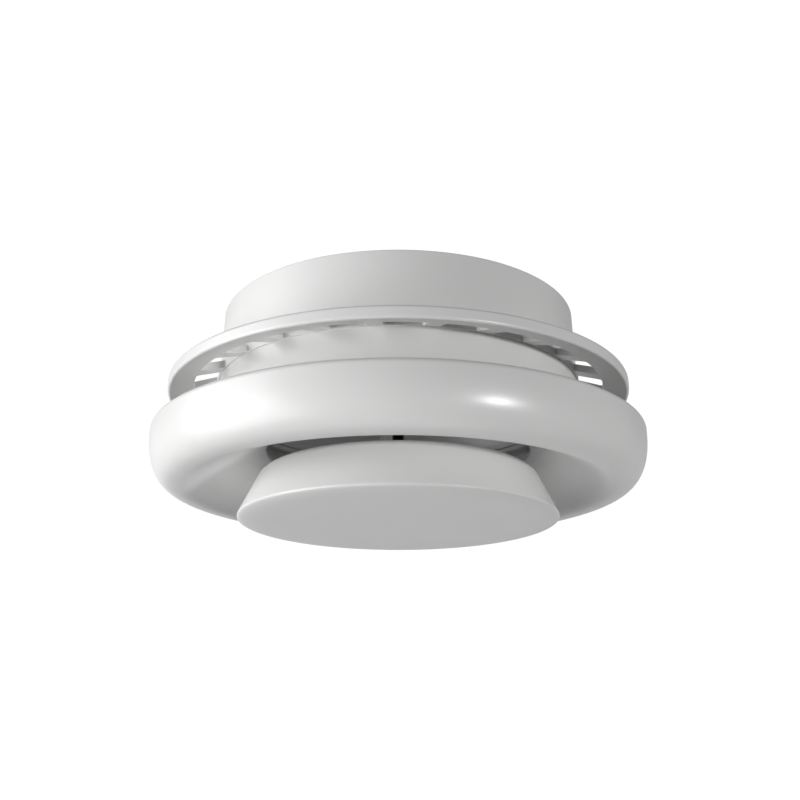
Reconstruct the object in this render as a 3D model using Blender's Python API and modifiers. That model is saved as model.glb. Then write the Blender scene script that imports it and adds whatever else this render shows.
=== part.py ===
"""Round ceiling air valve: a slotted mounting collar, a face ring on a sleeve, and a screw-adjusted disc.

Metres, +Z up. The origin is on the valve's axis, in the plane where the collar's rim meets the ceiling.
The air comes down the duct, through the sleeve and the throat, and out round the disc.
"""

import math

import bmesh
import bpy

MM = 0.001

# Facets of a full turn.
RING_STEPS = 48
SMALL_STEPS = 24

# Clear gap left between pieces that touch.
GAP = 0.3 * MM

# Mounting collar: a tube that is the duct spigot above its dished, slotted flange and the neck below.
TUBE_RADIUS = 73.6 * MM
TUBE_BORE = 71.9 * MM
SPIGOT_TOP = 30.6 * MM
SPIGOT_TAPER = 0.6 * MM
SPIGOT_EDGE = 0.7 * MM
NECK_BOTTOM = -17.1 * MM
FLANGE_RADIUS = 93.7 * MM
RIM_BOTTOM = -4.8 * MM
RIM_EDGE = 1.1 * MM
ROOT_BOTTOM = 1.0 * MM
PLATE_THICKNESS = 3.0 * MM
SLOT_COUNT = 24
SLOT_ANGLE = math.radians(10.5)
SLOT_TURN = math.radians(1.6)
SLOT_INNER = 74.3 * MM
SLOT_OUTER = 83.7 * MM
SLOT_CUT_LOW = -10.0 * MM
SLOT_CUT_HIGH = 12.0 * MM

# Face ring: a superellipse skirt and lip, then a conical funnel up to the throat.
FACE_RADIUS = 99.0 * MM
RING_CENTRE_RADIUS = 87.17 * MM
RING_CENTRE_Z = -23.6 * MM
RING_DROP = 18.5 * MM
RING_RISE = 3.6 * MM
LIP_POWER = 2.34
LIP_RADIUS = 7.7 * MM
FUNNEL_TOP = -25.5 * MM
FUNNEL_ANGLE = math.radians(28.7)
THROAT_RADIUS = 55.0 * MM
THROAT_EDGE = 1.1 * MM
RING_WALL = 2.2 * MM
SKIRT_EDGE = 2.2 * MM
SOCKET_TOP = -21.1 * MM
SOCKET_OUTER = 74.0 * MM

# Neck sleeve, which plugs into the collar, with a groove for its seal and a ledge for the bridge.
SLEEVE_RADIUS = 71.5 * MM
SLEEVE_BORE = 69.0 * MM
SLEEVE_TOP = 16.0 * MM
SLEEVE_BOTTOM = -31.0 * MM
SLEEVE_CHAMFER = 0.8 * MM
GROOVE_FLOOR = 70.0 * MM
GROOVE_LOW = 4.3 * MM
GROOVE_HIGH = 12.9 * MM
SEAL_EDGE = 0.4 * MM
LEDGE_BORE = 64.8 * MM
LEDGE_TOP = -10.0 * MM
LEDGE_THICKNESS = 2.2 * MM

# Shoulder gasket, on the face ring's socket round the sleeve.
GASKET_THICKNESS = 3.4 * MM
GASKET_OUTER = 74.0 * MM

# Bridge: an outer ring on the ledge, three arms and a hub.
BRIDGE_RING_OUTER = 68.6 * MM
BRIDGE_RING_THICKNESS = 2.5 * MM
ARM_COUNT = 3
FIRST_ARM = math.radians(97.0)
ARM_WIDTH = 4.2 * MM
ARM_HEIGHT = 8.0 * MM
ARM_TOP = -1.0 * MM
ARM_OVERLAP = 0.4 * MM
HUB_OVERLAP = 1.5 * MM
HUB_RADIUS = 8.0 * MM
HUB_BOTTOM = -13.0 * MM
HUB_TOP = 0.0 * MM
SCREW_CIRCLE = 66.8 * MM
SCREW_HOLE = 1.2 * MM
SCREW_SHANK = 0.9 * MM
SCREW_HEAD = 1.7 * MM
SCREW_HEAD_HEIGHT = 1.4 * MM
SCREW_BOSS = 2.9 * MM
SCREW_BOSS_BOTTOM = -19.0 * MM
SCREW_END = -17.5 * MM
SCREW_POINT = 0.8 * MM
PILOT_CLEARANCE = 0.5 * MM
HOLE_STEPS = 12

# Spindle, M5 x 0.8, and what is on it.
SPINDLE_RADIUS = 2.5 * MM
THREAD_CLEAR = 2.85 * MM
SPINDLE_TOP = 25.0 * MM
SPINDLE_HEAD = 5.0 * MM
SPINDLE_HEAD_HEIGHT = 3.2 * MM
SPINDLE_CHAMFER = 0.5 * MM
BUSH_RADIUS = 4.6 * MM
BUSH_FLANGE = 6.4 * MM
BUSH_FLANGE_THICKNESS = 1.2 * MM
BUSH_BOTTOM = -12.5 * MM
NUT_FLATS = 8.0 * MM
NUT_HEIGHT = 4.0 * MM
NUT_CHAMFER = 0.45 * MM
WASHER_RADIUS = 5.0 * MM
WASHER_THICKNESS = 1.0 * MM
OPEN_TRAVEL = 12.0 * MM

# Disc: a hollow cone closed by a face plate.
DISC_RADIUS = 63.8 * MM
DISC_SEAM = -52.1 * MM
CONE_TOP = -34.1 * MM
CONE_SHOULDER_CENTRE = 52.2 * MM
CONE_SHOULDER = 4.5 * MM
CONE_WALL = 2.0 * MM
FACE_FLAT_RADIUS = 53.3 * MM
FACE_DROP = 1.8 * MM
FACE_CROWN = 0.5 * MM
CROWN_SHARES = (0.6, 0.0)
FACE_THICKNESS = 2.0 * MM
FACE_SPIGOT_OUTER = 60.0 * MM
FACE_SPIGOT_WALL = 1.6 * MM
FACE_SPIGOT_HEIGHT = 3.5 * MM


def clear_scene():
    for obj in list(bpy.data.objects):
        bpy.data.objects.remove(obj)


def new_collection(name):
    collection = bpy.data.collections.new(name)
    bpy.context.scene.collection.children.link(collection)
    return collection


def new_material(name, colour, roughness, metallic=0.0):
    material = bpy.data.materials.new(name)
    material.use_nodes = True
    shader = material.node_tree.nodes["Principled BSDF"]
    shader.inputs["Base Color"].default_value = (*colour, 1.0)
    shader.inputs["Roughness"].default_value = roughness
    shader.inputs["Metallic"].default_value = metallic
    return material


clear_scene()
PARTS = new_collection("ceiling_air_valve")
CUTTERS = new_collection("cutters")
WHITE = new_material("white_plastic", (0.85, 0.85, 0.84), 0.3)
BLACK = new_material("black_screw", (0.02, 0.02, 0.02), 0.45)
BRASS = new_material("brass", (0.75, 0.58, 0.28), 0.3, 1.0)
STEEL = new_material("zinc_plated_steel", (0.62, 0.63, 0.65), 0.35, 1.0)
FOAM = new_material("grey_foam", (0.25, 0.25, 0.26), 0.9)


def add_object(name, mesh, material):
    obj = bpy.data.objects.new(name, mesh)
    mesh.materials.append(material)
    PARTS.objects.link(obj)
    return obj


def make_cutter(obj):
    """Moves an object to the cutters, where it is drawn as a wire and never rendered."""
    PARTS.objects.unlink(obj)
    CUTTERS.objects.link(obj)
    obj.hide_render = True
    obj.display_type = "WIRE"
    return obj


def smooth(obj):
    obj.data.shade_smooth()
    obj.data.set_sharp_from_angle(angle=math.radians(35))


def turned(name, outline, material, steps=RING_STEPS, at=(0.0, 0.0, 0.0)):
    """Turns an outline of (radius, height) points about Z. It runs down its outer side.

    An outline that starts clear of the axis is closed from its last point to its first.
    """
    mesh = bpy.data.meshes.new(name)
    edges = [(i, i + 1) for i in range(len(outline) - 1)]
    if outline[0][0] > 0:
        edges.append((len(outline) - 1, 0))
    mesh.from_pydata([(radius, 0.0, height) for radius, height in outline], edges, [])
    obj = add_object(name, mesh, material)
    obj.location = at
    screw = obj.modifiers.new("turn", "SCREW")
    screw.axis = "Z"
    screw.angle = math.tau
    screw.steps = steps
    screw.render_steps = steps
    screw.use_merge_vertices = True
    screw.merge_threshold = 0.00001
    screw.use_smooth_shade = True
    return obj


def boolean(obj, other, operation):
    modifier = obj.modifiers.new(other.name, "BOOLEAN")
    modifier.operation = operation
    modifier.solver = "EXACT"
    modifier.object = other


def cut(obj, cutter):
    boolean(obj, make_cutter(cutter), "DIFFERENCE")


def join(obj, other):
    boolean(obj, make_cutter(other), "UNION")


def round_corner(centre, radii, start, end, count, power=2.0):
    """Points of a superellipse arc from one angle to another, in degrees from +radius towards +height."""
    points = []
    for i in range(count):
        angle = math.radians(start + (end - start) * i / (count - 1))
        cosine, sine = math.cos(angle), math.sin(angle)
        along = math.copysign(abs(cosine) ** (2 / power), cosine)
        up = math.copysign(abs(sine) ** (2 / power), sine)
        points.append((centre[0] + radii[0] * along, centre[1] + radii[1] * up))
    return points


def polar(radius, angle, height=0.0):
    return (radius * math.cos(angle), radius * math.sin(angle), height)


def box_object(name, low, high, material, turn=0.0):
    """A box between two corners, turned about the Z axis."""
    mesh = bpy.data.meshes.new(name)
    shape = bmesh.new()
    bmesh.ops.create_cube(shape, size=1.0)
    for vertex in shape.verts:
        for axis in range(3):
            middle = (low[axis] + high[axis]) / 2
            vertex.co[axis] = middle + vertex.co[axis] * (high[axis] - low[axis])
    shape.to_mesh(mesh)
    shape.free()
    obj = add_object(name, mesh, material)
    obj.rotation_euler.z = turn
    return obj


def slot_cutter():
    """All the flange's slots: wedges between two radii, evenly spaced, the first turned a little past +X."""
    mesh = bpy.data.meshes.new("slot_cutter")
    shape = bmesh.new()
    for i in range(SLOT_COUNT):
        wedge = bmesh.ops.create_cube(shape, size=1.0)["verts"]
        for vertex in wedge:
            radius = SLOT_OUTER if vertex.co.x > 0 else SLOT_INNER
            angle = SLOT_TURN + math.tau * i / SLOT_COUNT + vertex.co.y * SLOT_ANGLE
            vertex.co = polar(radius, angle, SLOT_CUT_HIGH if vertex.co.z > 0 else SLOT_CUT_LOW)
    shape.to_mesh(mesh)
    shape.free()
    return add_object("slot_cutter", mesh, WHITE)


def mounting_collar():
    """Tube with a flange that drops outward to a flat-topped rim, and slots beside the tube."""
    rim_foot = FLANGE_RADIUS - RIM_EDGE
    slope = (ROOT_BOTTOM - RIM_BOTTOM) / (rim_foot - TUBE_RADIUS)
    root_top = ROOT_BOTTOM + PLATE_THICKNESS
    spigot_radius = TUBE_RADIUS - SPIGOT_TAPER
    outline = round_corner((spigot_radius - SPIGOT_EDGE, SPIGOT_TOP - SPIGOT_EDGE),
                           (SPIGOT_EDGE, SPIGOT_EDGE), 90, 0, 4)
    outline += [(TUBE_RADIUS, root_top), (TUBE_RADIUS + root_top / slope, 0.0)]
    outline += round_corner((rim_foot, -RIM_EDGE), (RIM_EDGE, RIM_EDGE), 90, 0, 4)
    outline += round_corner((rim_foot, RIM_BOTTOM + RIM_EDGE), (RIM_EDGE, RIM_EDGE), 0, -90, 4)
    outline += [
        (TUBE_RADIUS, ROOT_BOTTOM),
        (TUBE_RADIUS, NECK_BOTTOM),
        (TUBE_BORE, NECK_BOTTOM),
        (TUBE_BORE, SPIGOT_TOP),
    ]
    collar = turned("mounting_collar", outline, WHITE)
    cut(collar, slot_cutter())


def face_ring():
    """Open-backed ring: rounded skirt, lip and funnel in one wall, with a socket that takes the sleeve."""
    half_width = FACE_RADIUS - RING_CENTRE_RADIUS
    centre = (RING_CENTRE_RADIUS, RING_CENTRE_Z)
    skirt_top = RING_CENTRE_Z + RING_RISE
    outline = round_corner((FACE_RADIUS - SKIRT_EDGE, skirt_top - SKIRT_EDGE),
                           (SKIRT_EDGE, SKIRT_EDGE), 180, 0, 7)
    outline += round_corner(centre, (half_width, RING_DROP), 0, -90, 11, LIP_POWER)
    lip_centre = (RING_CENTRE_RADIUS, RING_CENTRE_Z - RING_DROP + LIP_RADIUS)
    funnel_degrees = math.degrees(FUNNEL_ANGLE)
    outline += round_corner(lip_centre, (LIP_RADIUS, LIP_RADIUS), -90, -90 - funnel_degrees, 4)[1:]
    throat_centre = (THROAT_RADIUS - THROAT_EDGE * math.sin(FUNNEL_ANGLE),
                     FUNNEL_TOP + THROAT_EDGE * math.cos(FUNNEL_ANGLE))
    outline += round_corner(throat_centre, (THROAT_EDGE, THROAT_EDGE),
                            -90 - funnel_degrees, 90 - funnel_degrees - 360, 5)
    back_start = outline[-1]
    slope = math.tan(FUNNEL_ANGLE)

    def back_height(radius):
        return back_start[1] - (radius - back_start[0]) * slope

    socket_bore = SLEEVE_RADIUS + GAP
    outline += [
        (SLEEVE_BORE, back_height(SLEEVE_BORE)),
        (SLEEVE_BORE, SLEEVE_BOTTOM - GAP),
        (socket_bore, SLEEVE_BOTTOM - GAP),
        (socket_bore, SOCKET_TOP),
        (SOCKET_OUTER, SOCKET_TOP),
        (SOCKET_OUTER, back_height(SOCKET_OUTER)),
    ]
    inner_radii = (half_width - RING_WALL, RING_DROP - RING_WALL)
    outline += round_corner(centre, inner_radii, -110, 0, 7, LIP_POWER)
    outline.append((FACE_RADIUS - 2 * SKIRT_EDGE, skirt_top - 2 * SKIRT_EDGE))
    turned("face_ring", outline, WHITE)


def neck_sleeve():
    """Tube that plugs into the collar, with an outside groove for the seal and an inside ledge."""
    ledge_bottom = LEDGE_TOP - LEDGE_THICKNESS
    outline = [
        (SLEEVE_RADIUS - SLEEVE_CHAMFER, SLEEVE_TOP),
        (SLEEVE_RADIUS, SLEEVE_TOP - SLEEVE_CHAMFER),
        (SLEEVE_RADIUS, GROOVE_HIGH),
        (GROOVE_FLOOR, GROOVE_HIGH),
        (GROOVE_FLOOR, GROOVE_LOW),
        (SLEEVE_RADIUS, GROOVE_LOW),
        (SLEEVE_RADIUS, SLEEVE_BOTTOM),
        (SLEEVE_BORE, SLEEVE_BOTTOM),
        (SLEEVE_BORE, ledge_bottom),
        (LEDGE_BORE, ledge_bottom),
        (LEDGE_BORE, LEDGE_TOP),
        (SLEEVE_BORE, LEDGE_TOP),
        (SLEEVE_BORE, SLEEVE_TOP),
    ]
    sleeve = turned("neck_sleeve", outline, WHITE)
    boss = rod_outline(SCREW_BOSS, LEDGE_TOP - LEDGE_THICKNESS / 4, SCREW_BOSS_BOTTOM)
    pilot_hole = rod_outline(SCREW_HOLE, 0.0, SCREW_END - PILOT_CLEARANCE)
    for i, angle in enumerate(arm_angles(), 1):
        place = polar(SCREW_CIRCLE, angle)
        join(sleeve, turned(f"boss_{i}", boss, WHITE, HOLE_STEPS, place))
        cut(sleeve, turned(f"pilot_hole_{i}", pilot_hole, WHITE, HOLE_STEPS, place))


def rod_outline(radius, top, bottom):
    return [(0.0, top), (radius, top), (radius, bottom), (0.0, bottom)]


def arm_angles():
    return [FIRST_ARM + math.tau * i / ARM_COUNT for i in range(ARM_COUNT)]


def bridge():
    """Ring on the sleeve's ledge, with three upright arms to a hub that holds the threaded bush."""
    ring_bottom = LEDGE_TOP + GAP
    ring_top = ring_bottom + BRIDGE_RING_THICKNESS
    ring = turned("bridge", [
        (BRIDGE_RING_OUTER, ring_top),
        (BRIDGE_RING_OUTER, ring_bottom),
        (LEDGE_BORE, ring_bottom),
        (LEDGE_BORE, ring_top),
    ], WHITE)
    bush_hole = BUSH_RADIUS + GAP
    hub = turned("bridge_hub", [
        (HUB_RADIUS, HUB_TOP),
        (HUB_RADIUS, HUB_BOTTOM),
        (bush_hole, HUB_BOTTOM),
        (bush_hole, HUB_TOP),
    ], WHITE, SMALL_STEPS)
    for i, angle in enumerate(arm_angles(), 1):
        low = (HUB_RADIUS - HUB_OVERLAP, -ARM_WIDTH / 2, ARM_TOP - ARM_HEIGHT)
        high = (LEDGE_BORE + ARM_OVERLAP, ARM_WIDTH / 2, ARM_TOP)
        join(ring, box_object(f"bridge_arm_{i}", low, high, WHITE, angle))
    join(ring, hub)
    hole = rod_outline(SCREW_HOLE, 0.0, HUB_BOTTOM)
    for i, angle in enumerate(arm_angles(), 1):
        cut(ring, turned(f"screw_hole_{i}", hole, WHITE, HOLE_STEPS, polar(SCREW_CIRCLE, angle)))


def bridge_screws():
    """Pan-head screws that hold the bridge's ring down on the sleeve's ledge."""
    seat = LEDGE_TOP + GAP + BRIDGE_RING_THICKNESS + GAP
    outline = round_corner((0.0, seat), (SCREW_HEAD, SCREW_HEAD_HEIGHT), 90, 0, 4)
    outline[0] = (0.0, seat + SCREW_HEAD_HEIGHT)
    outline += [(SCREW_SHANK, seat), (SCREW_SHANK, SCREW_END + SCREW_POINT), (0.0, SCREW_END)]
    for i, angle in enumerate(arm_angles(), 1):
        turned(f"bridge_screw_{i}", outline, STEEL, HOLE_STEPS, polar(SCREW_CIRCLE, angle))


def washer(name, bottom, material):
    return turned(name, [
        (WASHER_RADIUS, bottom + WASHER_THICKNESS),
        (WASHER_RADIUS, bottom),
        (THREAD_CLEAR, bottom),
        (THREAD_CLEAR, bottom + WASHER_THICKNESS),
    ], material, SMALL_STEPS)


def nut(name, bottom, material):
    """Hexagon nut: a six-sided prism, trimmed to a bored cylinder whose ends slope down to the flats."""
    top = bottom + NUT_HEIGHT
    corner = NUT_FLATS / math.sqrt(3)
    mesh = bpy.data.meshes.new(name)
    shape = bmesh.new()
    bmesh.ops.create_cone(shape, cap_ends=True, segments=6, radius1=corner, radius2=corner,
                          depth=NUT_HEIGHT)
    bmesh.ops.translate(shape, verts=shape.verts, vec=(0, 0, (bottom + top) / 2))
    shape.to_mesh(mesh)
    shape.free()
    body = add_object(name, mesh, material)
    trim = turned(f"{name}_trim", [
        (NUT_FLATS / 2, top + GAP),
        (corner + GAP, top - NUT_CHAMFER),
        (corner + GAP, bottom + NUT_CHAMFER),
        (NUT_FLATS / 2, bottom - GAP),
        (THREAD_CLEAR, bottom - GAP),
        (THREAD_CLEAR, top + GAP),
    ], material, SMALL_STEPS)
    boolean(body, make_cutter(trim), "INTERSECT")


def spindle_pieces():
    """Threaded spindle with its bush, lock nut, washers and end stop, from the bridge down to the disc."""
    head_top = CONE_TOP - CONE_WALL - GAP
    head_bottom = head_top - SPINDLE_HEAD_HEIGHT
    turned("spindle", [
        (0.0, SPINDLE_TOP),
        (SPINDLE_RADIUS - SPINDLE_CHAMFER, SPINDLE_TOP),
        (SPINDLE_RADIUS, SPINDLE_TOP - SPINDLE_CHAMFER),
        (SPINDLE_RADIUS, head_top),
        (SPINDLE_HEAD, head_top),
        (SPINDLE_HEAD, head_bottom + SPINDLE_CHAMFER),
        (SPINDLE_HEAD - SPINDLE_CHAMFER, head_bottom),
        (0.0, head_bottom),
    ], BLACK, SMALL_STEPS)
    flange_bottom = HUB_TOP + GAP
    flange_top = flange_bottom + BUSH_FLANGE_THICKNESS
    turned("thread_bush", [
        (BUSH_FLANGE, flange_top),
        (BUSH_FLANGE, flange_bottom),
        (BUSH_RADIUS, flange_bottom),
        (BUSH_RADIUS, BUSH_BOTTOM),
        (THREAD_CLEAR, BUSH_BOTTOM),
        (THREAD_CLEAR, flange_top),
    ], BRASS, SMALL_STEPS)
    washer("lock_washer", flange_top + GAP, STEEL)
    lock_bottom = flange_top + GAP + WASHER_THICKNESS + GAP
    nut("lock_nut", lock_bottom, STEEL)
    nut("end_stop_nut", lock_bottom + NUT_HEIGHT + GAP + OPEN_TRAVEL, BLACK)
    washer("disc_washer", CONE_TOP + GAP, STEEL)
    nut("disc_nut", CONE_TOP + GAP + WASHER_THICKNESS + GAP, STEEL)


def disc_cone():
    """Hollow cone, open below: flat top with the spindle's hole, rounded shoulder, straight side."""
    centre = (CONE_SHOULDER_CENTRE, CONE_TOP - CONE_SHOULDER)
    run, drop = DISC_RADIUS - centre[0], centre[1] - DISC_SEAM
    # The side touches the shoulder where its radius is square to the line down to the seam.
    tangent = math.acos(CONE_SHOULDER / math.hypot(run, drop)) - math.atan2(drop, run)
    inner_radius = CONE_SHOULDER - CONE_WALL
    outline = [(THREAD_CLEAR, CONE_TOP)]
    outline += round_corner(centre, (CONE_SHOULDER, CONE_SHOULDER), 90, math.degrees(tangent), 6)
    outline += [(DISC_RADIUS, DISC_SEAM), (DISC_RADIUS - CONE_WALL / math.cos(tangent), DISC_SEAM)]
    outline += round_corner(centre, (inner_radius, inner_radius), math.degrees(tangent), 90, 4)
    outline.append((THREAD_CLEAR, CONE_TOP - CONE_WALL))
    turned("disc_cone", outline, WHITE)


def disc_face():
    """Face plate: a rim that rounds under to a slightly crowned face, with a ring that fits in the cone."""
    rim_top = DISC_SEAM - GAP
    flat = DISC_SEAM - FACE_DROP
    run = DISC_RADIUS - FACE_FLAT_RADIUS
    bottom = round_corner((FACE_FLAT_RADIUS, rim_top), (run, rim_top - flat), 0, -90, 6)
    # The crown is part of a parabola: its drop goes with the square of the radius.
    crown = [(FACE_FLAT_RADIUS * share, flat - FACE_CROWN * (1 - share**2)) for share in CROWN_SHARES]
    back = flat + FACE_THICKNESS
    spigot_inner = FACE_SPIGOT_OUTER - FACE_SPIGOT_WALL
    spigot_top = rim_top + FACE_SPIGOT_HEIGHT
    outline = [
        (0.0, back),
        (spigot_inner, back),
        (spigot_inner, spigot_top),
        (FACE_SPIGOT_OUTER, spigot_top),
        (FACE_SPIGOT_OUTER, rim_top),
    ]
    turned("disc_face", outline + bottom + crown, WHITE)


def neck_seal():
    """Foam band in the sleeve's groove, which grips the collar's bore."""
    inner = GROOVE_FLOOR + GAP
    outer = TUBE_BORE - GAP
    low, high = GROOVE_LOW + GAP, GROOVE_HIGH - GAP
    turned("neck_seal", [
        (outer - SEAL_EDGE, high),
        (outer, high - SEAL_EDGE),
        (outer, low + SEAL_EDGE),
        (outer - SEAL_EDGE, low),
        (inner, low),
        (inner, high),
    ], FOAM)


def shoulder_gasket():
    """Foam ring between the face ring's socket and the end of the collar's neck."""
    bottom = SOCKET_TOP + GAP
    inner = SLEEVE_RADIUS + GAP
    turned("shoulder_gasket", [
        (GASKET_OUTER, bottom + GASKET_THICKNESS),
        (GASKET_OUTER, bottom),
        (inner, bottom),
        (inner, bottom + GASKET_THICKNESS),
    ], FOAM)


mounting_collar()
neck_seal()
face_ring()
neck_sleeve()
shoulder_gasket()
bridge()
bridge_screws()
spindle_pieces()
disc_cone()
disc_face()
for part in PARTS.objects:
    smooth(part)
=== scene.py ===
"""Ceiling air valve: finished surfaces, materials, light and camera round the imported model.

Lengths are metres and +Z is up. The valve turns about the Z axis, and the room is below it.
"""

import math

import bmesh
import bpy
import numpy as np
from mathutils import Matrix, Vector


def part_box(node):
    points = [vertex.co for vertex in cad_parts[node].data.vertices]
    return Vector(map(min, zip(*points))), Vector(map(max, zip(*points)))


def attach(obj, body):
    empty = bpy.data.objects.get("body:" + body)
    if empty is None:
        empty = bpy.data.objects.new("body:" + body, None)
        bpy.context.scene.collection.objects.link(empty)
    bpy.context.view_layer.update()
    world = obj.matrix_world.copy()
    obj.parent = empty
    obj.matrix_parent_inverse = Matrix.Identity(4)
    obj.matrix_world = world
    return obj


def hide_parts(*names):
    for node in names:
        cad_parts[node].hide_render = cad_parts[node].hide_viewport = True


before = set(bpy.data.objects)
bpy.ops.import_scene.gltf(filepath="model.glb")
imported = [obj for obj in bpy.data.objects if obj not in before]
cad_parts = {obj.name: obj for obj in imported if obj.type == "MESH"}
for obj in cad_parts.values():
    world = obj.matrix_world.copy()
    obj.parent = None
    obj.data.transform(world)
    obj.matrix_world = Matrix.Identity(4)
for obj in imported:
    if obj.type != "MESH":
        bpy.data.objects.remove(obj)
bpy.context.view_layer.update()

MM = 0.001


def turned_size(node):
    """Outside radius, lowest and highest point of a node that is turned about the Z axis."""
    low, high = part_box(node)
    return high.x, low.z, high.z


# Mounting collar: a tube with a flange. The slots are arcs, evenly spaced, the first a little past +X.
FLANGE_RADIUS, NECK_BOTTOM, SPIGOT_TOP = turned_size("mounting_collar")
TUBE_RADIUS = 73.6 * MM
SPIGOT_TOP_RADIUS = 73.0 * MM
TUBE_BORE = 71.9 * MM
RIM_BOTTOM = -4.8 * MM
RIM_FOOT = 92.6 * MM
ROOT_BOTTOM = 1.0 * MM
PLATE = 3.0 * MM
PLATE_SLOPE = (ROOT_BOTTOM - RIM_BOTTOM) / (RIM_FOOT - TUBE_RADIUS)
RIM_INNER = TUBE_RADIUS + (ROOT_BOTTOM + PLATE) / PLATE_SLOPE
SLOT_COUNT = 24
SLOT_TURN = math.radians(1.6)
SLOT_MIDDLE = 78.95 * MM
SLOT_HALF_DEPTH = 4.7 * MM
SLOT_HALF_ANGLE = math.radians(5.25)
SLOT_CORNER = 0.8 * MM
SLOT_EDGE = 0.25 * MM
SECTOR_INNER = 73.9 * MM
SECTOR_OUTER = 86.3 * MM

# Face ring.
FACE_RADIUS, LIP_BOTTOM, SKIRT_TOP = turned_size("face_ring")
SKIRT_BEAD = 2.2 * MM
RING_CENTRE = np.array([87.17, -23.6]) * MM
RING_WALL = 2.2 * MM
LIP_POWER = 2.34
LIP_RADIUS = 7.7 * MM
FUNNEL_ANGLE = 28.7
THROAT_RADIUS = 55.0 * MM
FUNNEL_TOP = -25.5 * MM
THROAT_EDGE = 1.1 * MM
SOCKET_TOP = -21.1 * MM
SOCKET_OUTER = 74.0 * MM
SOCKET_BORE = 71.8 * MM

# Neck sleeve, with the groove for its seal and the ledge for the bridge.
SLEEVE_RADIUS, SLEEVE_BOTTOM, SLEEVE_TOP = turned_size("neck_sleeve")
SLEEVE_BORE = 69.0 * MM
GROOVE_FLOOR = 70.0 * MM
GROOVE_LOW, GROOVE_HIGH = 4.3 * MM, 12.9 * MM
LEDGE_BORE = 64.8 * MM
LEDGE_TOP, LEDGE_BOTTOM = -10.0 * MM, -12.2 * MM
SCREW_BOSS = 2.9 * MM
SCREW_BOSS_BOTTOM = -19.0 * MM

# Bridge.
BRIDGE_RADIUS, HUB_BOTTOM, HUB_TOP = turned_size("bridge")
BRIDGE_RING_TOP, BRIDGE_RING_BOTTOM = -7.2 * MM, -9.7 * MM
HUB_RADIUS = 8.0 * MM
HUB_BORE = 4.9 * MM
ARM_ANGLES = np.radians([97.0, 217.0, 337.0])
ARM_HALF_WIDTH = 2.1 * MM
ARM_TOP, ARM_BOTTOM = -1.0 * MM, -9.0 * MM

# Spindle, a right-hand M5 thread, and the pieces with a thread that are on it.
SPINDLE_RADIUS = 2.5 * MM
SPINDLE_HEAD, SPINDLE_BOTTOM, SPINDLE_TOP = turned_size("spindle")
SPINDLE_HEAD_HEIGHT = 3.2 * MM
PITCH = 0.8 * MM
THREAD_DEPTH = 0.49 * MM
NUT_BORE = 2.56 * MM
SPINDLE_HOLE = 2.85 * MM
BUSH_RADIUS = 4.6 * MM

# Disc.
DISC_RADIUS, DISC_SEAM, CONE_TOP = turned_size("disc_cone")
CONE_SHOULDER_CENTRE = 52.2 * MM
CONE_SHOULDER = 4.5 * MM
CONE_WALL = 2.0 * MM
FACE_FLAT_RADIUS = 53.3 * MM
FACE_DROP = 1.8 * MM
FACE_THICKNESS = 2.0 * MM
FACE_SPIGOT_OUTER = 60.0 * MM
FACE_SPIGOT_INNER = 58.4 * MM
SEAM_GAP = 0.3 * MM

# Points round a full turn: a multiple of twice the slot count, so that sectors and turned walls meet.
TURNS = 384
SMALL_TURNS = 96


# Outlines, in (radius, height)


def rounded(corners, closed=True, step=math.radians(8)):
    """Outline through (radius, height, rounding) corners.

    Each corner is cut back along both sides by rounding / tan(half its angle), and a circular arc
    joins the two ends. An arc's point is a mix of its end radii, weighted by the sines of the
    angles still to go, so that it stays on the circle.
    """
    corners = np.asarray(corners, float)
    count = len(corners)
    parts = []
    for i, (radius, height, rounding) in enumerate(corners):
        point = np.array([radius, height])
        if rounding == 0 or (not closed and i in (0, count - 1)):
            parts.append(point[None])
            continue
        before = corners[i - 1, :2] - point
        after = corners[(i + 1) % count, :2] - point
        before /= np.linalg.norm(before)
        after /= np.linalg.norm(after)
        half = math.acos(np.clip(before @ after, -1, 1)) / 2
        turn = math.pi - 2 * half
        inward = (before + after) / np.linalg.norm(before + after)
        middle = point + inward * rounding / math.sin(half)
        start = point + before * rounding / math.tan(half) - middle
        end = point + after * rounding / math.tan(half) - middle
        share = np.linspace(0, 1, max(3, round(turn / step) + 1))[:, None]
        mix = np.sin((1 - share) * turn) * start + np.sin(share * turn) * end
        parts.append(middle + mix / math.sin(turn))
    return np.concatenate(parts)


def arc(centre, radii, start, end, count, power=2.0):
    """Superellipse arc: centre + radii * (sign and 2/power-th power of cosine and sine), in degrees."""
    angle = np.radians(np.linspace(start, end, count))
    waves = np.stack([np.cos(angle), np.sin(angle)], -1)
    return centre + np.broadcast_to(radii, 2) * np.sign(waves) * np.abs(waves) ** (2 / power)


# Surfaces, as grids of points


def sheet_of(points, close_rows=False, close_columns=True):
    """Points and quads of a grid of points (rows, columns, 3), joined round where it closes."""
    rows, columns = points.shape[:2]
    i, j = np.meshgrid(
        np.arange(rows if close_rows else rows - 1),
        np.arange(columns if close_columns else columns - 1),
        indexing="ij",
    )
    below, beside = (i + 1) % rows, (j + 1) % columns
    corners = [i * columns + j, below * columns + j, below * columns + beside, i * columns + beside]
    return points.reshape(-1, 3), np.stack(corners, -1).reshape(-1, 4)


def turned(outline, closed=True, turns=TURNS, at=(0.0, 0.0), first=0.0):
    """Surface of revolution: point (r cos a, r sin a, z) for outline point (r, z) and turn angle a."""
    angle = first + np.linspace(0, math.tau, turns, endpoint=False)
    radius, height = outline[:, :1], outline[:, 1:]
    points = [at[0] + radius * np.cos(angle), at[1] + radius * np.sin(angle), height + 0 * angle]
    return sheet_of(np.stack(points, -1), close_rows=closed)


def with_poles(outline):
    """An open outline led to the axis at both ends, which closes the surface turned from it."""
    ends = outline[[0, -1]] * [0.0, 1.0]
    return np.concatenate([ends[:1], outline, ends[1:]])


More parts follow.
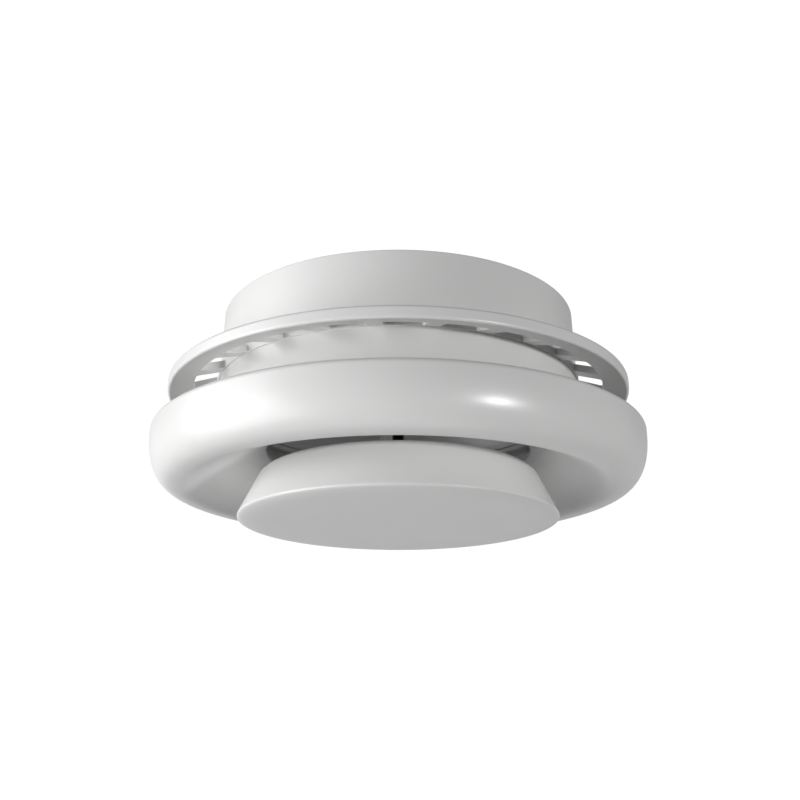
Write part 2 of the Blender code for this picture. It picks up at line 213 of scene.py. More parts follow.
def capped_tube(sections):
    """A closed section (points, 3) carried along a path: its ends are drawn in to their centres."""
    middles = sections[[0, -1]].mean(1, keepdims=True) + 0 * sections[[0, -1]]
    return sheet_of(np.concatenate([middles[:1], sections, middles[1:]]))


def hexagon_nut(bottom, top, flats):
    """Bored hexagon whose height is walked row by row.

    Its radius is the smaller of two: half the flats over the cosine of the angle from the nearest
    flat's middle, and a 30 degree cone that starts at the flats on each end.
    """
    angle = np.linspace(0, math.tau, SMALL_TURNS * 2, endpoint=False)
    off_flat = (angle + math.pi / 6) % (math.pi / 3) - math.pi / 6
    hexagon = flats / 2 / np.cos(off_flat)
    slope = np.linspace(0, 0.5, 9) * MM
    depth = np.concatenate([slope, top - bottom - slope[::-1]])[:, None]
    to_end = np.minimum(depth, top - bottom - depth)
    cone = 0.96 * flats / 2 + to_end / math.tan(math.radians(30))
    side = np.minimum(hexagon, cone)
    lead = 0.3 * MM
    bore = np.array([[NUT_BORE, top - bottom - lead], [NUT_BORE, lead], [NUT_BORE + lead, 0.0]])
    mouth = np.array([[NUT_BORE + lead, top - bottom]])
    inner = np.concatenate([mouth, bore])
    radius = np.concatenate([side, inner[:, :1] + 0 * angle])
    down = np.concatenate([depth, inner[:, 1:]]) + 0 * angle
    points = np.stack([radius * np.cos(angle), radius * np.sin(angle), top - down], -1)
    return sheet_of(points, close_rows=True)


def spindle_rod():
    """Threaded rod with a round head.

    Radius: full radius less the thread's depth times a cosine wave of (height / pitch - turn), so
    that its crest climbs one pitch a turn, and never more than a 45 degree cone at the top end.
    """
    angle = np.linspace(0, math.tau, 40, endpoint=False)
    head_top = SPINDLE_BOTTOM + SPINDLE_HEAD_HEIGHT
    height = np.arange(SPINDLE_TOP, head_top, -PITCH / 10)[:, None]
    phase = math.tau * height / PITCH - angle
    radius = SPINDLE_RADIUS - THREAD_DEPTH / 2 * (1 - np.cos(phase))
    radius = np.minimum(radius, SPINDLE_RADIUS - 0.7 * MM + SPINDLE_TOP - height)
    head = rounded(
        [
            (SPINDLE_RADIUS, head_top, 0),
            (SPINDLE_HEAD, head_top, 0.3 * MM),
            (SPINDLE_HEAD, SPINDLE_BOTTOM, 0.5 * MM),
            (0.0, SPINDLE_BOTTOM, 0),
        ],
        closed=False,
    )
    top_centre = np.array([[0.0, SPINDLE_TOP]])
    radius = np.concatenate([top_centre[:, :1] + 0 * angle, radius, head[:, :1] + 0 * angle])
    height = np.concatenate([top_centre[:, 1:], height, head[:, 1:]]) + 0 * angle
    points = np.stack([radius * np.cos(angle), radius * np.sin(angle), height], -1)
    return sheet_of(points)


def pan_head_screw(angle_round, circle):
    """Pan head with a cross recess, on a plain shank.

    Height of the head: a quarter superellipse over the radius, less a cross whose arms are as deep
    as one, falling to nothing over a narrow edge on each side and at the arm's end.
    """
    low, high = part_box("bridge_screw_1")
    head_radius = (high.x - low.x) / 2
    seat = BRIDGE_RING_TOP + 0.05 * MM
    turn = np.linspace(0, math.tau, 64, endpoint=False)
    share = np.concatenate([np.linspace(0, 0.8, 17), np.linspace(0.84, 1.0, 8)])[:, None]
    x, y = share * head_radius * np.cos(turn), share * head_radius * np.sin(turn)
    along, across = np.maximum(abs(x), abs(y)), np.minimum(abs(x), abs(y))
    arm_length, arm_half_width, recess_depth = 0.95 * MM, 0.26 * MM, 0.6 * MM
    arm = np.clip((arm_half_width - across) / (0.1 * MM), 0, 1)
    arm = arm * np.clip((arm_length - along) / (0.2 * MM), 0, 1)
    dome = (high.z - seat) * (1 - share**3.2) ** (1 / 2.2)
    top = np.stack([x, y, seat + dome - recess_depth * arm], -1)
    shank_radius, point = 0.56 * head_radius, 0.8 * MM
    shank = np.array([[shank_radius, seat], [shank_radius, low.z + point], [0.0, low.z]])
    radius = shank[:, :1] + 0 * turn
    under = np.stack([radius * np.cos(turn), radius * np.sin(turn), shank[:, 1:] + 0 * turn], -1)
    points = np.concatenate([top, under])
    points[..., 0] += circle * math.cos(angle_round)
    points[..., 1] += circle * math.sin(angle_round)
    return sheet_of(points)


def flange_bottom(radius):
    """Height of the dished flange's underside: a straight slope down and outward from its root."""
    return ROOT_BOTTOM - (radius - TUBE_RADIUS) * PLATE_SLOPE


def slot_path(half_along, half_deep, corner, share_along, share_deep):
    """Rounded rectangle, walked once round from the middle of one corner's arc.

    A side's point lies at a share of its length, half an arc at each end included. Past the
    straight stretch the rest of the length is an angle on the corner's circle.
    """
    sides = []
    for half, away, share in (
        (half_deep, half_along, share_deep),
        (half_along, half_deep, share_along),
        (half_deep, half_along, share_deep),
        (half_along, half_deep, share_along),
    ):
        straight = half - corner
        length = np.abs(share) * (straight + corner * math.pi / 4)
        bend = np.maximum(length - straight, 0) / corner
        along = np.sign(share) * (np.minimum(length, straight) + corner * np.sin(bend))
        sides.append((along, away - corner * (1 - np.cos(bend))))
    right, top, left, bottom = sides
    x = [right[1], -top[0], -left[1], bottom[0]]
    y = [right[0], top[1], -left[0], -bottom[1]]
    return np.concatenate(x, -1), np.concatenate(y, -1)


def slotted_sector(middle_angle):
    """One slot and the flange round it, out to the sector's edges.

    A profile is carried round the slot: in along the underside, round the lower edge, up the wall,
    round the upper edge and out along the top. Away from the slot its points are a mix of the
    slot's outline and the sector's. Along and deep are lengths at the slot's middle radius.
    """
    steps_along, steps_deep = TURNS // SLOT_COUNT, 8
    plain_along = np.linspace(-1, 1, steps_along, endpoint=False)
    plain_deep = np.linspace(-1, 1, steps_deep, endpoint=False)
    bend = np.radians(np.linspace(0, 90, 5))
    flat = np.ones(3)
    spread = np.concatenate([[1, 0.4, 0.12], 0 * bend, 0 * bend, [0.12, 0.4, 1]])[:, None]
    back = SLOT_EDGE * np.concatenate([flat, 1 - np.sin(bend), 1 - np.cos(bend), flat])[:, None]
    lower = SLOT_EDGE * (1 - np.cos(bend))
    upper = PLATE - SLOT_EDGE * (1 - np.sin(bend))
    rise = np.concatenate([0 * flat, lower, upper, PLATE * flat])[:, None]
    slot_x, slot_y = slot_path(
        SLOT_HALF_ANGLE * SLOT_MIDDLE + back,
        SLOT_HALF_DEPTH + back,
        SLOT_CORNER + back,
        np.sin(plain_along * math.pi / 2),
        np.sin(plain_deep * math.pi / 2),
    )
    half = math.pi / SLOT_COUNT * SLOT_MIDDLE
    middle = (SECTOR_OUTER + SECTOR_INNER) / 2 - SLOT_MIDDLE
    reach = (SECTOR_OUTER - SECTOR_INNER) / 2
    full_along, full_deep = np.ones(steps_along), np.ones(steps_deep)
    edge_x = np.concatenate([full_deep, -plain_along, -full_deep, plain_along]) * half
    edge_y = np.concatenate([plain_deep, full_along, -plain_deep, -full_along]) * reach + middle
    x = slot_x + (edge_x - slot_x) * spread
    y = slot_y + (edge_y - slot_y) * spread
    radius = SLOT_MIDDLE + y
    angle = middle_angle + x / SLOT_MIDDLE
    height = flange_bottom(radius) + rise
    return sheet_of(np.stack([radius * np.cos(angle), radius * np.sin(angle), height], -1))


def bridge_arm(angle):
    """Upright arm: a rounded rectangle carried outward from the hub to the ring.

    Its half width grows by a falling exponential at both ends, and its top drops to the ring along
    a quarter ellipse over the last millimetres.
    """
    inner, outer = HUB_RADIUS - 1.2 * MM, LEDGE_BORE + 0.4 * MM
    drop_run = 6.0 * MM
    along = np.concatenate([
        np.linspace(inner, inner + 8 * MM, 17),
        np.linspace(inner + 10 * MM, outer - drop_run - MM, 12),
        outer - drop_run * (1 - np.sin(np.radians(np.linspace(0, 90, 19)))),
    ])[:, None]
    hub_flare, ring_flare, widest = 1.3 * MM, 1.5 * MM, 4.2 * MM
    half = ARM_HALF_WIDTH + hub_flare * np.exp((HUB_RADIUS - along) / (1.6 * MM))
    half = half + ring_flare * np.exp((along - outer) / (1.8 * MM))
    half = np.minimum(half, widest)
    dropped = np.clip((along - outer + drop_run) / drop_run, 0, 1)
    top_low = BRIDGE_RING_TOP - 0.2 * MM
    top = top_low + (ARM_TOP - top_low) * np.sqrt(1 - dropped**2)
    low = ARM_BOTTOM - 1.5 * MM * np.exp((HUB_RADIUS - along) / (2.2 * MM))
    middle, tall = (top + low) / 2, (top - low) / 2
    turn = np.linspace(0, math.tau, 48, endpoint=False)
    wave_x = np.sign(np.cos(turn)) * np.abs(np.cos(turn)) ** 0.25
    wave_z = np.sign(np.sin(turn)) * np.abs(np.sin(turn)) ** 0.25
    x, y, z = along + 0 * turn, half * wave_x, middle + tall * wave_z
    cosine, sine = math.cos(angle), math.sin(angle)
    return capped_tube(np.stack([x * cosine - y * sine, x * sine + y * cosine, z], -1))


# Materials


def material_of(name, colour, roughness, metallic=0.0):
    """A material whose named numbers sit on the shader, with its shader, its nodes and a linker."""
    material = bpy.data.materials.new(name)
    material.use_nodes = True
    tree = material.node_tree
    shader = tree.nodes["Principled BSDF"]
    shader.inputs["Base Color"].default_value = (*colour, 1.0)
    shader.inputs["Roughness"].default_value = roughness
    shader.inputs["Metallic"].default_value = metallic
    return material, shader, tree


def noise_of(tree, scale, detail=3.0, stretch=(1.0, 1.0, 1.0)):
    """Noise in object coordinates, its scale in cells a metre."""
    place = tree.nodes.new("ShaderNodeTexCoord")
    mapping = tree.nodes.new("ShaderNodeMapping")
    mapping.inputs["Scale"].default_value = stretch
    noise = tree.nodes.new("ShaderNodeTexNoise")
    noise.inputs["Scale"].default_value = scale
    noise.inputs["Detail"].default_value = detail
    tree.links.new(place.outputs["Object"], mapping.inputs["Vector"])
    tree.links.new(mapping.outputs["Vector"], noise.inputs["Vector"])
    return noise.outputs["Fac"]


def between(tree, factor, low, high):
    """A number that goes from low to high as the factor goes over the noise's usual range."""
    node = tree.nodes.new("ShaderNodeMapRange")
    node.inputs["From Min"].default_value = 0.3
    node.inputs["From Max"].default_value = 0.7
    node.inputs["To Min"].default_value = low
    node.inputs["To Max"].default_value = high
    tree.links.new(factor, node.inputs["Value"])
    return node.outputs["Result"]


def colour_between(tree, factor, first, second):
    node = tree.nodes.new("ShaderNodeMix")
    node.data_type = "RGBA"
    node.inputs["A"].default_value = (*first, 1.0)
    node.inputs["B"].default_value = (*second, 1.0)
    tree.links.new(factor, node.inputs["Factor"])
    return node.outputs["Result"]


def bump_of(tree, height, strength, distance):
    node = tree.nodes.new("ShaderNodeBump")
    node.inputs["Strength"].default_value = strength
    node.inputs["Distance"].default_value = distance
    tree.links.new(height, node.inputs["Height"])
    return node.outputs["Normal"]


def moulded_white():
    """Glossy moulded plastic: a faint cloudiness, a gloss that wavers and a slight orange peel."""
    material, shader, tree = material_of("moulded_white", (0.8, 0.8, 0.79), 0.3)
    shader.inputs["IOR"].default_value = 1.52
    cloud = between(tree, noise_of(tree, 28.0), 0.0, 1.0)
    colour = colour_between(tree, cloud, (0.795, 0.795, 0.79), (0.805, 0.805, 0.8))
    gloss = between(tree, noise_of(tree, 60.0, 2.0), 0.28, 0.33)
    peel = bump_of(tree, noise_of(tree, 500.0, 1.0), 0.04, 0.02 * MM)
    tree.links.new(colour, shader.inputs["Base Color"])
    tree.links.new(gloss, shader.inputs["Roughness"])
    tree.links.new(peel, shader.inputs["Normal"])
    return material


def black_oxide():
    """Blackened steel: near black, with worn, slightly browner and shinier patches."""
    material, shader, tree = material_of("black_oxide", (0.018, 0.018, 0.02), 0.42, 0.6)
    patch = between(tree, noise_of(tree, 900.0, 5.0), 0.0, 1.0)
    colour = colour_between(tree, patch, (0.012, 0.012, 0.014), (0.035, 0.031, 0.028))
    gloss = between(tree, noise_of(tree, 2200.0), 0.34, 0.52)
    tree.links.new(colour, shader.inputs["Base Color"])
    tree.links.new(gloss, shader.inputs["Roughness"])
    return material


def bright_zinc():
    """Zinc plate: pale grey metal with a crystalline cloudiness and fine turning marks."""
    material, shader, tree = material_of("bright_zinc", (0.6, 0.62, 0.65), 0.3, 1.0)
    cloud = between(tree, noise_of(tree, 1400.0, 4.0), 0.0, 1.0)
    colour = colour_between(tree, cloud, (0.54, 0.56, 0.6), (0.68, 0.69, 0.7))
    gloss = between(tree, noise_of(tree, 3000.0), 0.24, 0.4)
    marks = bump_of(tree, noise_of(tree, 900.0, 2.0, (1.0, 1.0, 9.0)), 0.15, 0.02 * MM)
    tree.links.new(colour, shader.inputs["Base Color"])
    tree.links.new(gloss, shader.inputs["Roughness"])
    tree.links.new(marks, shader.inputs["Normal"])
    return material


def turned_brass():
    """Turned brass: warm metal, slightly duller in patches, with rings left by the tool."""
    material, shader, tree = material_of("turned_brass", (0.78, 0.6, 0.3), 0.28, 1.0)
    patch = between(tree, noise_of(tree, 700.0, 4.0), 0.0, 1.0)
    colour = colour_between(tree, patch, (0.62, 0.46, 0.22), (0.84, 0.67, 0.36))
    gloss = between(tree, noise_of(tree, 1800.0), 0.22, 0.38)
    rings = bump_of(tree, noise_of(tree, 700.0, 1.0, (1.0, 1.0, 14.0)), 0.2, 0.02 * MM)
    tree.links.new(colour, shader.inputs["Base Color"])
    tree.links.new(gloss, shader.inputs["Roughness"])
    tree.links.new(rings, shader.inputs["Normal"])
    return material


def closed_cell_foam():
    """Grey foam: matt, with cells that dent its skin."""
    material, shader, tree = material_of("closed_cell_foam", (0.2, 0.2, 0.205), 0.92)
    place = tree.nodes.new("ShaderNodeTexCoord")
    cells = tree.nodes.new("ShaderNodeTexVoronoi")
    cells.inputs["Scale"].default_value = 1700.0
    tree.links.new(place.outputs["Object"], cells.inputs["Vector"])
    dents = bump_of(tree, cells.outputs["Distance"], 0.7, 0.15 * MM)
    shade = between(tree, noise_of(tree, 420.0, 4.0), 0.0, 1.0)
    colour = colour_between(tree, shade, (0.16, 0.16, 0.165), (0.25, 0.25, 0.255))
    tree.links.new(colour, shader.inputs["Base Color"])
    tree.links.new(dents, shader.inputs["Normal"])
    return material


WHITE = moulded_white()
BLACK = black_oxide()
ZINC = bright_zinc()
BRASS = turned_brass()
FOAM = closed_cell_foam()


# Pieces


def add_piece(name, surfaces, material, body, node):
    """One mesh from several surfaces, which stands for a node and moves with its body.

    Points that meet are joined, which closes poles and seams, and faces are turned outwards.
    """
    starts = np.cumsum([0] + [len(points) for points, _ in surfaces[:-1]])
    points = np.concatenate([points for points, _ in surfaces])
    faces = np.concatenate([quads + start for (_, quads), start in zip(surfaces, starts)])
    mesh = bpy.data.meshes.new(name)
    mesh.from_pydata(points.tolist(), [], faces.tolist())
    shape = bmesh.new()
    shape.from_mesh(mesh)
    bmesh.ops.remove_doubles(shape, verts=shape.verts, dist=0.001 * MM)
    bmesh.ops.recalc_face_normals(shape, faces=shape.faces)
    shape.to_mesh(mesh)
    shape.free()
    mesh.shade_smooth()
    mesh.set_sharp_from_angle(angle=math.radians(38))
    mesh.materials.append(material)
    piece = bpy.data.objects.new(name, mesh)
    bpy.context.scene.collection.objects.link(piece)
    weight = piece.modifiers.new("face_weight", "WEIGHTED_NORMAL")
    weight.keep_sharp = True
    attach(piece, body)
    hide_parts(node)
    return piece


def collar():
    """Tube and flange: turned walls inside and outside the slots, and a slotted sector for each."""
    inner = rounded(
        [
            (SECTOR_INNER, flange_bottom(SECTOR_INNER), 0),
            (TUBE_RADIUS, ROOT_BOTTOM, 0.15 * MM),
            (TUBE_RADIUS, NECK_BOTTOM, 0.5 * MM),
            (TUBE_BORE, NECK_BOTTOM, 0.4 * MM),
            (TUBE_BORE, SPIGOT_TOP, 0.45 * MM),
            (SPIGOT_TOP_RADIUS, SPIGOT_TOP, 0.5 * MM),
            (TUBE_RADIUS, ROOT_BOTTOM + PLATE, 0.3 * MM),
            (SECTOR_INNER, flange_bottom(SECTOR_INNER) + PLATE, 0),
        ],
        closed=False,
    )
    outer = rounded(
        [
            (SECTOR_OUTER, flange_bottom(SECTOR_OUTER) + PLATE, 0),
            (RIM_INNER, 0.0, 0.8 * MM),
            (FLANGE_RADIUS, 0.0, 1.2 * MM),
            (FLANGE_RADIUS, RIM_BOTTOM, 1.0 * MM),
            (RIM_FOOT, RIM_BOTTOM, 0.6 * MM),
            (SECTOR_OUTER, flange_bottom(SECTOR_OUTER), 0),
        ],
        closed=False,
    )
    sectors = [slotted_sector(SLOT_TURN + math.tau * i / SLOT_COUNT) for i in range(SLOT_COUNT)]
    walls = [turned(outline, closed=False, first=SLOT_TURN) for outline in (inner, outer)]
    add_piece("collar_moulding", walls + sectors, WHITE, "collar", "mounting_collar")


def face_ring():
    """One closed wall: bead, superellipse skirt, round lip, straight funnel, round throat and back."""
    lip_centre = np.array([RING_CENTRE[0], LIP_BOTTOM + LIP_RADIUS])
    lean = math.radians(FUNNEL_ANGLE)
    throat_centre = np.array([
        THROAT_RADIUS - THROAT_EDGE * math.sin(lean),
        FUNNEL_TOP + THROAT_EDGE * math.cos(lean),
    ])
    half = np.array([FACE_RADIUS - RING_CENTRE[0], RING_CENTRE[1] - LIP_BOTTOM])
    front = [
        arc((FACE_RADIUS - SKIRT_BEAD, SKIRT_TOP - SKIRT_BEAD), SKIRT_BEAD, 180, 0, 25),
        arc(RING_CENTRE, half, 0, -90, 72, LIP_POWER),
        arc(lip_centre, LIP_RADIUS, -90, -90 - FUNNEL_ANGLE, 14)[1:],
        arc(throat_centre, THROAT_EDGE, -90 - FUNNEL_ANGLE, -270 - FUNNEL_ANGLE, 21),
    ]
    throat_back = front[-1][-1]

    def back_height(radius):
        return throat_back[1] - (radius - throat_back[0]) * math.tan(lean)

    socket = rounded(
        [
            (*throat_back, 0),
            (SLEEVE_BORE, back_height(SLEEVE_BORE), 0.5 * MM),
            (SLEEVE_BORE, SLEEVE_BOTTOM - 0.3 * MM, 0.3 * MM),
            (SOCKET_BORE, SLEEVE_BOTTOM - 0.3 * MM, 0.3 * MM),
            (SOCKET_BORE, SOCKET_TOP, 0.4 * MM),
            (SOCKET_OUTER, SOCKET_TOP, 0.5 * MM),
            (SOCKET_OUTER, back_height(SOCKET_OUTER), 0.6 * MM),
            (SOCKET_OUTER + 4 * MM, back_height(SOCKET_OUTER + 4 * MM), 0),
        ],
        closed=False,
    )[1:]
    inside = arc(RING_CENTRE, half - RING_WALL, -106, 0, 40, LIP_POWER)
    outline = np.concatenate([*front, socket, inside])
    add_piece("face_ring_moulding", [turned(outline)], WHITE, "valve_body", "face_ring")


def neck_sleeve():
    """Tube with a seal groove and a bridge ledge, and three screw bosses under the ledge."""
    tube = rounded([
        (SLEEVE_RADIUS, SLEEVE_TOP, 0.9 * MM),
        (SLEEVE_RADIUS, GROOVE_HIGH, 0.2 * MM),
        (GROOVE_FLOOR, GROOVE_HIGH, 0.2 * MM),
        (GROOVE_FLOOR, GROOVE_LOW, 0.2 * MM),
        (SLEEVE_RADIUS, GROOVE_LOW, 0.2 * MM),
        (SLEEVE_RADIUS, SLEEVE_BOTTOM, 0.4 * MM),
        (SLEEVE_BORE, SLEEVE_BOTTOM, 0.4 * MM),
        (SLEEVE_BORE, LEDGE_BOTTOM, 0.6 * MM),
        (LEDGE_BORE, LEDGE_BOTTOM, 0.5 * MM),
        (LEDGE_BORE, LEDGE_TOP, 0.4 * MM),
        (SLEEVE_BORE, LEDGE_TOP, 0.4 * MM),
        (SLEEVE_BORE, SLEEVE_TOP, 0.6 * MM),
    ])
    boss = with_poles(rounded(
        [
            (SCREW_BOSS, LEDGE_BOTTOM + MM, 0),
            (SCREW_BOSS, SCREW_BOSS_BOTTOM, 0.6 * MM),
            (SCREW_BOSS / 2, SCREW_BOSS_BOTTOM, 0),
        ],
        closed=False,
    ))
    circle = screw_circle()
    bosses = [
        turned(boss, False, SMALL_TURNS, (circle * math.cos(angle), circle * math.sin(angle)))
        for angle in ARM_ANGLES
    ]
    add_piece("neck_sleeve_moulding", [turned(tube)] + bosses, WHITE, "valve_body", "neck_sleeve")


def screw_circle():
    """Radius of the circle that the bridge's screws stand on."""
    low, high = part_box("bridge_screw_1")
    return math.hypot((low.x + high.x) / 2, (low.y + high.y) / 2)


def bridge():
    """Ring on the ledge, hub for the bush and three arms between them."""
    ring = rounded([
        (BRIDGE_RADIUS, BRIDGE_RING_TOP, 0.6 * MM),
        (BRIDGE_RADIUS, BRIDGE_RING_BOTTOM, 0.3 * MM),
        (LEDGE_BORE, BRIDGE_RING_BOTTOM, 0.3 * MM),
        (LEDGE_BORE, BRIDGE_RING_TOP, 0.8 * MM),
    ])
    hub = rounded([
        (HUB_RADIUS, HUB_TOP, 0.7 * MM),
        (HUB_RADIUS, HUB_BOTTOM, 0.9 * MM),
        (HUB_BORE, HUB_BOTTOM, 0.3 * MM),
        (HUB_BORE, HUB_TOP, 0.3 * MM),
    ])
    arms = [bridge_arm(angle) for angle in ARM_ANGLES]
    surfaces = [turned(ring), turned(hub, turns=SMALL_TURNS)] + arms
    add_piece("bridge_moulding", surfaces, WHITE, "valve_body", "bridge")
    for i, angle in enumerate(ARM_ANGLES, 1):
        screw = pan_head_screw(angle, screw_circle())
        add_piece(f"bridge_screw_{i}_finished", [screw], ZINC, "valve_body", f"bridge_screw_{i}")


def flat_ring(name, node, bore, rounding, material, body, turns):
    """A washer, gasket or band with rounded edges, in a node's height and outside radius."""
    radius, low, high = turned_size(node)
    ring = rounded([
        (radius, high, rounding),
        (radius, low, rounding),
        (bore, low, rounding),
        (bore, high, rounding),
    ])
    add_piece(name, [turned(ring, turns=turns)], material, body, node)


def seals_and_washers():
    """The foam seal and gasket, and the washers under the lock nut and the disc's nut."""
    flat_ring("neck_seal_band", "neck_seal", GROOVE_FLOOR + 0.1 * MM, 0.5 * MM, FOAM, "seal", TURNS)
    flat_ring("shoulder_gasket_ring", "shoulder_gasket", SLEEVE_RADIUS + 0.1 * MM, 0.7 * MM,
              FOAM, "valve_body", TURNS)
    bore = NUT_BORE + 0.2 * MM
    flat_ring("lock_washer_ring", "lock_washer", bore, 0.15 * MM, ZINC, "valve_body", SMALL_TURNS)
    flat_ring("disc_washer_ring", "disc_washer", bore, 0.15 * MM, ZINC, "disc", SMALL_TURNS)


def bush():
    """Turned bush: a body through the bridge's hub, and a flange on top of it."""
    radius, low, high = turned_size("thread_bush")
    flange_low = HUB_TOP + 0.05 * MM
    outline = rounded([
        (radius, high, 0.3 * MM),
        (radius, flange_low, 0.1 * MM),
        (BUSH_RADIUS, flange_low, 0.1 * MM),
        (BUSH_RADIUS, low, 0.4 * MM),
        (NUT_BORE, low, 0.2 * MM),
        (NUT_BORE, high, 0.4 * MM),
    ])
    add_piece("thread_bush_turned", [turned(outline, turns=SMALL_TURNS)], BRASS, "valve_body", "thread_bush")


def nuts():
    """The three hexagon nuts, each in its node's height and flats."""
    for node, material, body in (
        ("lock_nut", ZINC, "lock_nut"),
        ("end_stop_nut", BLACK, "spindle"),
        ("disc_nut", ZINC, "disc"),
    ):
        low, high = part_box(node)
        surface = hexagon_nut(low.z, high.z, high.x - low.x)
        add_piece(f"{node}_hexagon", [surface], material, body, node)


def disc():
    """Hollow cone with a rounded shoulder, and a face plate that rounds under to a shallow crown."""
    centre = np.array([CONE_SHOULDER_CENTRE, CONE_TOP - CONE_SHOULDER])
    run, drop = DISC_RADIUS - centre[0], centre[1] - DISC_SEAM
    # The side touches the shoulder where its radius is square to the line down to the seam.
    tangent = math.degrees(math.acos(CONE_SHOULDER / math.hypot(run, drop)) - math.atan2(drop, run))
    foot = CONE_WALL / math.cos(math.radians(tangent))
    side_foot = rounded(
        [
            (*arc(centre, CONE_SHOULDER, tangent, tangent, 1)[0], 0),
            (DISC_RADIUS, DISC_SEAM, 0.12 * MM),
            (DISC_RADIUS - foot, DISC_SEAM, 0.3 * MM),
            (*arc(centre, CONE_SHOULDER - CONE_WALL, tangent, tangent, 1)[0], 0),
        ],
        closed=False,
    )
    cone = np.concatenate([
        [(SPINDLE_HOLE, CONE_TOP)],
        arc(centre, CONE_SHOULDER, 90, tangent, 25)[:-1],
        side_foot,
        arc(centre, CONE_SHOULDER - CONE_WALL, tangent, 90, 12)[1:],
        [(SPINDLE_HOLE, CONE_TOP - CONE_WALL)],
    ])
    add_piece("disc_cone_moulding", [turned(cone)], WHITE, "disc", "disc_cone")

    _, face_low, spigot_top = turned_size("disc_face")
    rim_top = DISC_SEAM
    flat = DISC_SEAM - SEAM_GAP - FACE_DROP
    rim_side = rounded(
        [
            (FACE_SPIGOT_OUTER, spigot_top, 0),
            (FACE_SPIGOT_OUTER, rim_top, 0.1 * MM),
            (DISC_RADIUS, rim_top, 0.12 * MM),
            (DISC_RADIUS, rim_top - SEAM_GAP, 0),
        ],
        closed=False,
    )
    rim_centre = (FACE_FLAT_RADIUS, rim_top - SEAM_GAP)
    under = arc(rim_centre, (DISC_RADIUS - FACE_FLAT_RADIUS, FACE_DROP), 0, -90, 40)
    # The crown is part of a parabola: its drop goes with the square of the radius.
    share = np.linspace(1, 0, 16)[1:, None]
    crown = np.concatenate([FACE_FLAT_RADIUS * share, flat + (face_low - flat) * (1 - share**2)], 1)
    back = flat + FACE_THICKNESS
    inside = [(0.0, back), (FACE_SPIGOT_INNER, back), (FACE_SPIGOT_INNER, spigot_top)]
    outline = np.concatenate([inside, rim_side, under[1:], crown])
    add_piece("disc_face_moulding", [turned(outline, closed=False)], WHITE, "disc", "disc_face")


collar()
face_ring()
neck_sleeve()
bridge()
seals_and_washers()
bush()
nuts()
add_piece("spindle_thread", [spindle_rod()], BLACK, "spindle", "spindle")
disc()


# Floor, light and camera

FLOOR_HEIGHT = -3.0
AIM = Vector((0.0, 0.0, -0.0013))
WHITE_LIGHT = (1.0, 1.0, 1.0, 1.0)


def floor():
    """A square of floor a room's height below: four corners of a grid."""
    reach = np.array([-1.2, 1.2])
    x, y = np.meshgrid(reach, reach, indexing="ij")
    points, quads = sheet_of(np.stack([x, y, FLOOR_HEIGHT + 0 * x], -1), close_columns=False)
    mesh = bpy.data.meshes.new("floor")
    mesh.from_pydata(points.tolist(), [], quads.tolist())
    material, shader, tree = material_of("pale_floor", (0.8, 0.8, 0.8), 0.9)
    shade = between(tree, noise_of(tree, 3.0), 0.0, 1.0)
    colour = colour_between(tree, shade, (0.79, 0.79, 0.79), (0.81, 0.81, 0.81))
    tree.links.new(colour, shader.inputs["Base Color"])
    mesh.materials.append(material)
    obj = bpy.data.objects.new("floor", mesh)
    bpy.context.scene.collection.objects.link(obj)


def softbox(name, direction, distance, width, height, power, target=AIM):
    """An area light that faces a point from a direction, and isn't seen itself."""
    data = bpy.data.lights.new(name, "AREA")
    data.shape = "RECTANGLE"
    data.size, data.size_y = width, height
    data.energy = power
    light = bpy.data.objects.new(name, data)
    light.location = target + Vector(direction).normalized() * distance
    light.rotation_euler = (target - light.location).to_track_quat("-Z", "Y").to_euler()
    light.visible_camera = False
    bpy.context.scene.collection.objects.link(light)


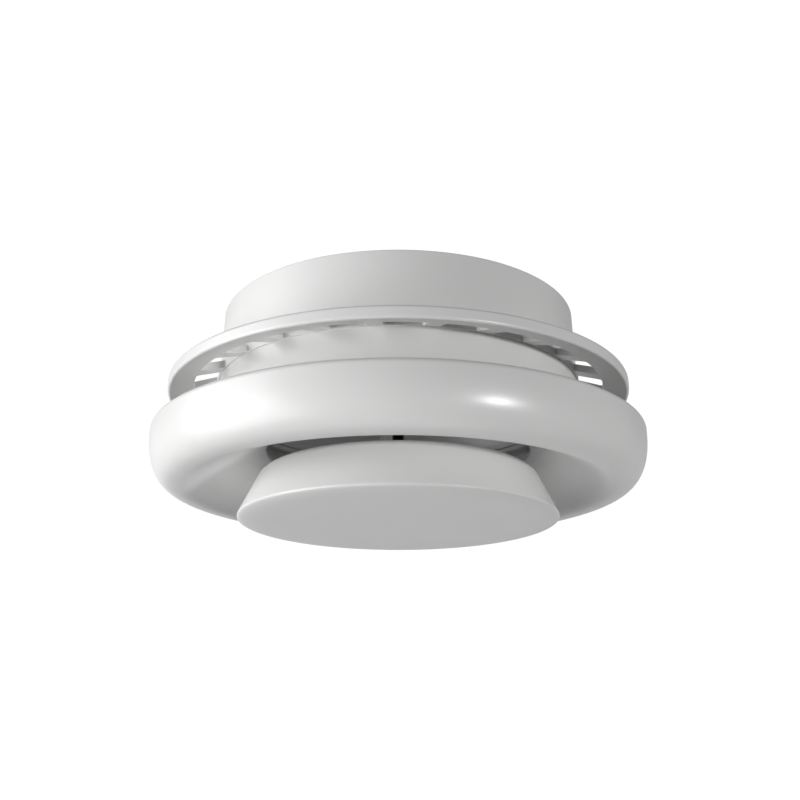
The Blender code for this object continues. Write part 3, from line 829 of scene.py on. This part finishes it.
def backdrop():
    """White to the eye. The valve is lit by wide soft glows at its back, at its right and overhead.

    A glow's strength is a smooth step of the cosine of the angle from its middle, and starts at its
    edge. They add up.
    """
    world = bpy.data.worlds.new("studio")
    bpy.context.scene.world = world
    world.use_nodes = True
    tree = world.node_tree
    place = tree.nodes.new("ShaderNodeTexCoord")
    total = None
    for direction, edge, strength in (
        ((0.0, 1.0, -0.2), 0.5, 0.64),
        ((1.0, 0.0, 0.0), 0.2, 0.18),
        ((0.0, 0.0, 1.0), 0.3, 0.12),
    ):
        cosine = tree.nodes.new("ShaderNodeVectorMath")
        cosine.operation = "DOT_PRODUCT"
        cosine.inputs[1].default_value = Vector(direction).normalized()
        tree.links.new(place.outputs["Generated"], cosine.inputs[0])
        glow = tree.nodes.new("ShaderNodeMapRange")
        glow.interpolation_type = "SMOOTHSTEP"
        glow.inputs["From Min"].default_value = edge
        glow.inputs["To Max"].default_value = strength
        tree.links.new(cosine.outputs["Value"], glow.inputs["Value"])
        if total is None:
            total = glow.outputs["Result"]
            continue
        both = tree.nodes.new("ShaderNodeMath")
        tree.links.new(total, both.inputs[0])
        tree.links.new(glow.outputs["Result"], both.inputs[1])
        total = both.outputs["Value"]
    shade = tree.nodes["Background"]
    shade.inputs["Color"].default_value = WHITE_LIGHT
    tree.links.new(total, shade.inputs["Strength"])
    seen = tree.nodes.new("ShaderNodeBackground")
    seen.inputs["Color"].default_value = WHITE_LIGHT
    seen.inputs["Strength"].default_value = 1.05
    path = tree.nodes.new("ShaderNodeLightPath")
    mix = tree.nodes.new("ShaderNodeMixShader")
    tree.links.new(path.outputs["Is Camera Ray"], mix.inputs["Fac"])
    tree.links.new(shade.outputs["Background"], mix.inputs[1])
    tree.links.new(seen.outputs["Background"], mix.inputs[2])
    tree.links.new(mix.outputs["Shader"], tree.nodes["World Output"].inputs["Surface"])


def camera():
    """Below the valve and looking up at it, a little longer than a normal lens."""
    data = bpy.data.cameras.new("camera")
    data.lens = 42.75
    data.sensor_width = 36.0
    data.clip_start, data.clip_end = 0.01, 50.0
    obj = bpy.data.objects.new("camera", data)
    distance, below = 0.3964, math.radians(18.655)
    back = Vector((0.0, -math.cos(below), -math.sin(below)))
    obj.location = AIM + back * distance + Vector((0.0007, 0.0, 0.0))
    obj.rotation_euler = (-back).to_track_quat("-Z", "Y").to_euler()
    bpy.context.scene.collection.objects.link(obj)
    bpy.context.scene.camera = obj


floor()
backdrop()
softbox("left_side", (-1.0, -0.25, 0.05), 0.9, 0.7, 0.7, 5.6)
softbox("left_low", (-0.85, -0.35, -0.3), 1.0, 0.8, 0.8, 7.2)
softbox("right_glint", (0.62, -0.71, -0.2), 1.1, 0.14, 0.07, 5.0)
softbox("floor_wash", (0.0, 0.0, 1.0), 2.4, 2.4, 2.4, 55.0, Vector((0.0, 0.0, FLOOR_HEIGHT)))
camera()
bpy.context.scene.view_settings.view_transform = "Standard"
